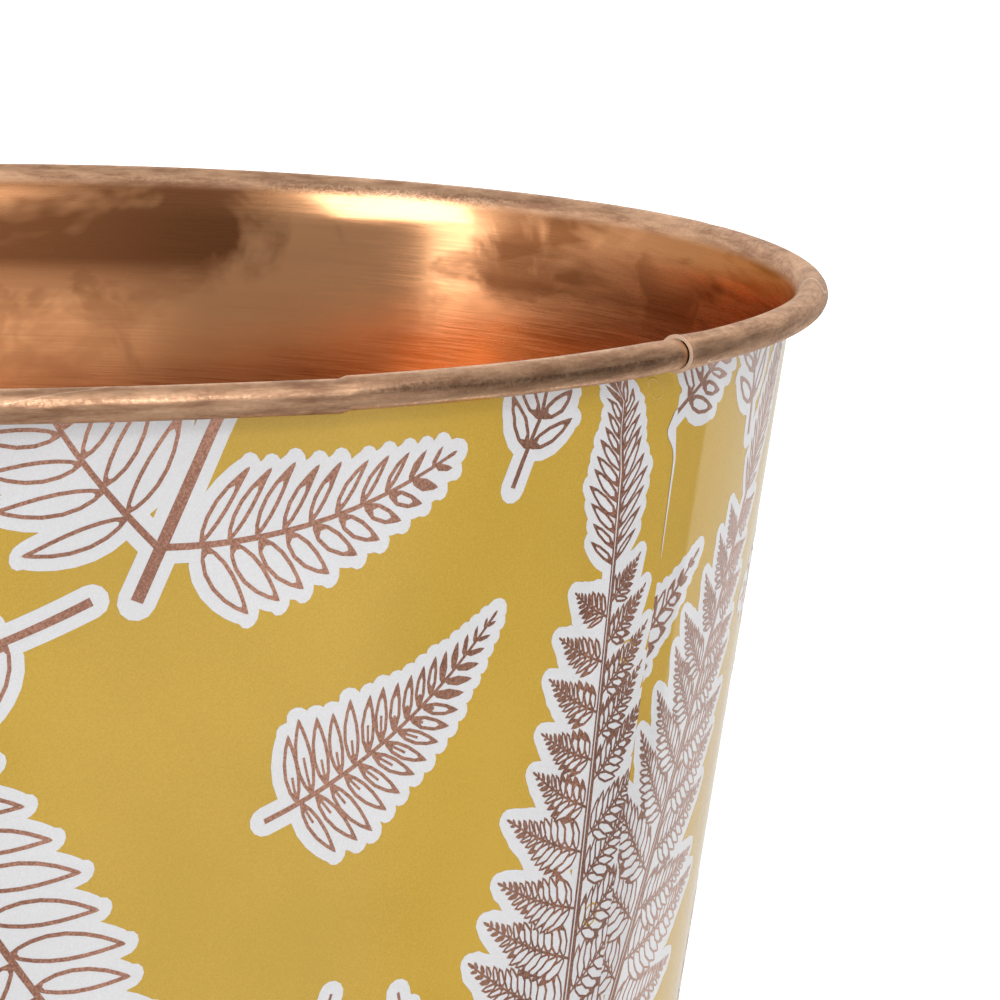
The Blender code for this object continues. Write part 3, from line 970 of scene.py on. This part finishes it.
enamel = ink(
    "mustard_enamel", (0.515, 0.325, 0.043), (0.61, 0.388, 0.060), 5200, 0.45, specular=0.0,
)
white_ink = ink("white_ink", (0.69, 0.69, 0.71), (0.76, 0.76, 0.785), 4200, 0.45, specular=0.0)
copper_ink = ink(
    "copper_ink", (0.33, 0.135, 0.085), (0.70, 0.36, 0.245), 3400, 0.40, metallic=0.8,
    patchy=(0.33, 0.66),
)
inside_copper = bare_copper("brushed_copper", CLEAN_COPPER, TARNISH_AND_SHADE_COPPER, 0.13, smudge_and_shade=1.15)
brown_bead(inside_copper)
cut_edge = bare_copper("cut_copper", (0.95, 0.80, 0.64), (0.80, 0.56, 0.40), 0.34, smudge_and_shade=0.6)
cut_edge.shader.inputs["Metallic"].default_value = 0.4
pan_copper = bare_copper(
    "pan_copper", (0.90, 0.56, 0.40), (0.45, 0.24, 0.15), 0.22, smudge_and_shade=0.6, flat_part=True,
)

# ---- the pieces ----
wall_sheet(enamel, inside_copper.data, cut_edge.data)
print_films(white_ink, copper_ink)
base_pan(pan_copper.data)
sealant_ring(sealant_finish())
weld_marks(enamel)
print_margin(white_ink)
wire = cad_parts["rim_wire"]
for slot in wire.material_slots:
    slot.material = steel_finish()

# ---- studio ----
side, back = 1.5, 4.0  # metres from the axis to the floor's front and sides, and to its back
corners = [(-side, -side, 0), (side, -side, 0), (side, back, 0), (-side, back, 0)]
floor_mesh = bpy.data.meshes.new("studio_floor")
floor_mesh.from_pydata(corners, [], [(0, 1, 2, 3)])
floor_mesh.materials.append(floor_finish())
studio_floor = new_object("studio_floor", floor_mesh)
studio_floor.visible_glossy = False  # the pot mirrors the room, not the lit floor


def direction(azimuth, elevation):
    a, e = radians(azimuth), radians(elevation)
    return Vector((sin(a) * cos(e), -cos(a) * cos(e), sin(e)))


def panel(name, place, faces, width, height, radiance):
    """A soft rectangular light at a place in metres, facing along a direction."""
    light = bpy.data.lights.new(name, "AREA")
    light.shape = "RECTANGLE"
    light.size, light.size_y = width, height
    light.energy = radiance * pi * width * height
    lamp = new_object(name, light)
    lamp.location = place
    lamp.rotation_mode = "QUATERNION"
    lamp.rotation_quaternion = (-faces).to_track_quat("Z", "Y")
    lamp.visible_camera = False
    return lamp


# Lights that face the rim's middle: azimuth, elevation, distance, width, height and radiance.
RIM_MIDDLE, DOWN = Vector((0, 0, 0.16)), Vector((0, 0, -1))
LIGHTS = {
    "key_low": (21, 18, 1.9, 0.85, 0.42, 2.1),
    "key_band": (20, 30, 1.6, 1.4, 0.28, 4.5),
    "key_high": (36, 56, 1.6, 1.3, 0.9, 0.8),
    "left_strip": (-74, 24, 1.7, 0.74, 0.46, 3.6),
    "left_low": (-86, 10, 1.7, 0.5, 0.3, 2.0),
    "left_back": (-100, 14, 1.7, 0.4, 0.3, 0.9),
}
for name, (azimuth, elevation, distance, *size_and_radiance) in LIGHTS.items():
    away = direction(azimuth, elevation)
    panel(name, away * distance + RIM_MIDDLE, -away, *size_and_radiance)
panel("back_soft", Vector((0.2, 2.0, 1.3)), DOWN, 3.0, 2.4, 0.3)
floor_light = panel("floor_light", Vector((0.2, 2.0, 1.2)), DOWN, 3.0, 2.8, 2.0)
floor_light.visible_glossy = False

# Brightness of the room by the height looked at, from -1 straight down to 1 straight up.
ROOM = (
    (-1.0, 0.62), (-0.75, 0.5), (-0.45, 0.27), (0.0, 0.13), (0.13, 0.34), (0.3, 0.38), (0.5, 0.46),
    (0.85, 0.70),
)
# A pale backdrop stands low down behind the pot. It has a sharp edge at one azimuth, and fades
# upwards, from the second height to the first, and towards the side.
BACKDROP, BACKDROP_EDGE = 0.6, radians(128.0)
BACKDROP_TOP, BACKDROP_SIDE = (0.62, 0.40), 0.35
# Pale patches: azimuth and elevation, cosines where each fades out and is full, and strength.
PALE_PATCHES = (
    ((40.0, -25.0), (0.80, 0.97), 0.5), ((-2.0, 8.0), (0.80, 0.995), 0.50),
    ((-98.0, 4.0), (0.86, 0.98), 0.25),
)
ROOM_COLOUR = (1.0, 0.985, 0.96, 1)

world = bpy.data.worlds.new("studio")
scene.world = world
world.use_nodes = True
world.node_tree.nodes.clear()
sky = Nodes(world.node_tree)
view = sky.add("TexCoord").outputs["Generated"]
split = sky.add("SeparateXYZ", {"Vector": view}).outputs
share = sky.add("MapRange", {"Value": split["Z"], "From Min": -1.0}).outputs["Result"]
ramp = sky.add("ValToRGB", {"Fac": share})
stops = ramp.color_ramp.elements
while len(stops) < len(ROOM):
    stops.new(0.5)
for stop, (height, strength) in zip(stops, ROOM):
    stop.position, stop.color = (height + 1) / 2, (strength, strength, strength, 1)
across = (cos(BACKDROP_EDGE), sin(BACKDROP_EDGE), 0.0)
behind = sky.spread(sky.vector("DOT_PRODUCT", view, across, "Value"), 0.0, 0.02, 0.0, BACKDROP)
backdrop = sky.times(behind, sky.spread(split["Z"], *BACKDROP_TOP))
backdrop = sky.times(backdrop, sky.spread(split["Y"], 0.0, BACKDROP_SIDE))
room = sky.plus(ramp.outputs["Color"], backdrop)
for towards, (fades, full), strength in PALE_PATCHES:
    near = sky.vector("DOT_PRODUCT", view, direction(*towards), "Value")
    room = sky.plus(room, sky.spread(near, fades, full, 0.0, strength))
around = sky.add("Background", {"Color": ROOM_COLOUR, "Strength": room})
seen = sky.add("Background", {"Color": (1, 1, 1, 1)})
path = sky.add("LightPath")
mixed = sky.add("MixShader", {
    0: path.outputs["Is Camera Ray"], 1: around.outputs[0], 2: seen.outputs[0],
})
sky.add("OutputWorld", {"Surface": mixed.outputs[0]})

scene.view_settings.view_transform = "Standard"
scene.view_settings.look = "None"

# ---- camera ----
CAMERA_AZIMUTH = 0.8  # degrees
CAMERA_DISTANCE = 0.700  # level, from the pot's axis
CAMERA_ABOVE_BEAD = 0.09143
PAN_ANGLE, PITCH, ROLL = 0.07684, -0.1651, 0.0122  # radians: to the right, up, and about the view
LENS = 224.8

ahead = Vector((sin(PAN_ANGLE) * cos(PITCH), cos(PAN_ANGLE) * cos(PITCH), sin(PITCH)))
sideways = Vector((cos(PAN_ANGLE), -sin(PAN_ANGLE), 0.0))
above = sideways.cross(ahead)
right = sideways * cos(ROLL) + above * sin(ROLL)
up = above * cos(ROLL) - sideways * sin(ROLL)
camera_data = bpy.data.cameras.new("camera")
camera_data.lens, camera_data.sensor_width = LENS, 36.0
camera_data.clip_start, camera_data.clip_end = 0.05, 20.0
camera = new_object("camera", camera_data)
place = direction(CAMERA_AZIMUTH, 0) * CAMERA_DISTANCE
place.z = BEAD_Z * MM + CAMERA_ABOVE_BEAD
turn = Matrix((right, up, -ahead)).transposed().to_4x4()
camera.matrix_world = Matrix.Translation(place) @ turn
scene.camera = camera
